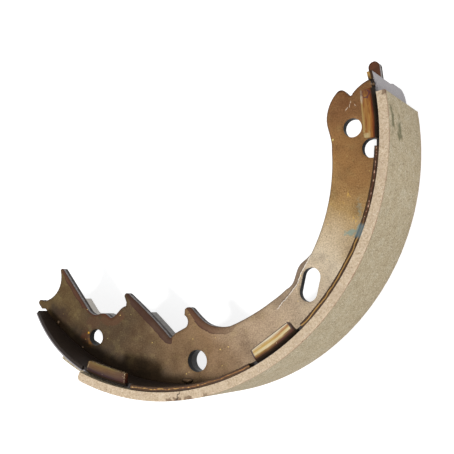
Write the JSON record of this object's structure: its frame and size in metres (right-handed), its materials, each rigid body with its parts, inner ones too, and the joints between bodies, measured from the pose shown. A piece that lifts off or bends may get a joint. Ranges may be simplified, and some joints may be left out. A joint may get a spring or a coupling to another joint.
{
  "type": "drum brake shoe",
  "caption": "Curved drum brake shoe: a steel web with anchor and spring horns, a tabbed rim welded around it, and a bonded friction lining on the outside.",
  "frame": {"origin": "on the drum's axis, at the middle of the web's thickness", "axes": "+Z along the drum's axis, up from the edge the shoe lies on; +X from the drum's axis to the lining's square end; the shoe runs clockwise from there, seen from above"},
  "size_m": [0.2322, 0.1482, 0.052],
  "materials": {
    "web_steel": "oiled steel with a brown-gold film",
    "doubler_steel": "oiled grey steel",
    "rim_steel": "dark oiled steel, amber on the tabs",
    "friction_lining": "matt grey-beige friction material"
  },
  "bodies": {
    "root": {"web": "web_steel", "web_doubler": "doubler_steel", "rim": "rim_steel", "lining": "friction_lining"}
  },
  "joints": []
}
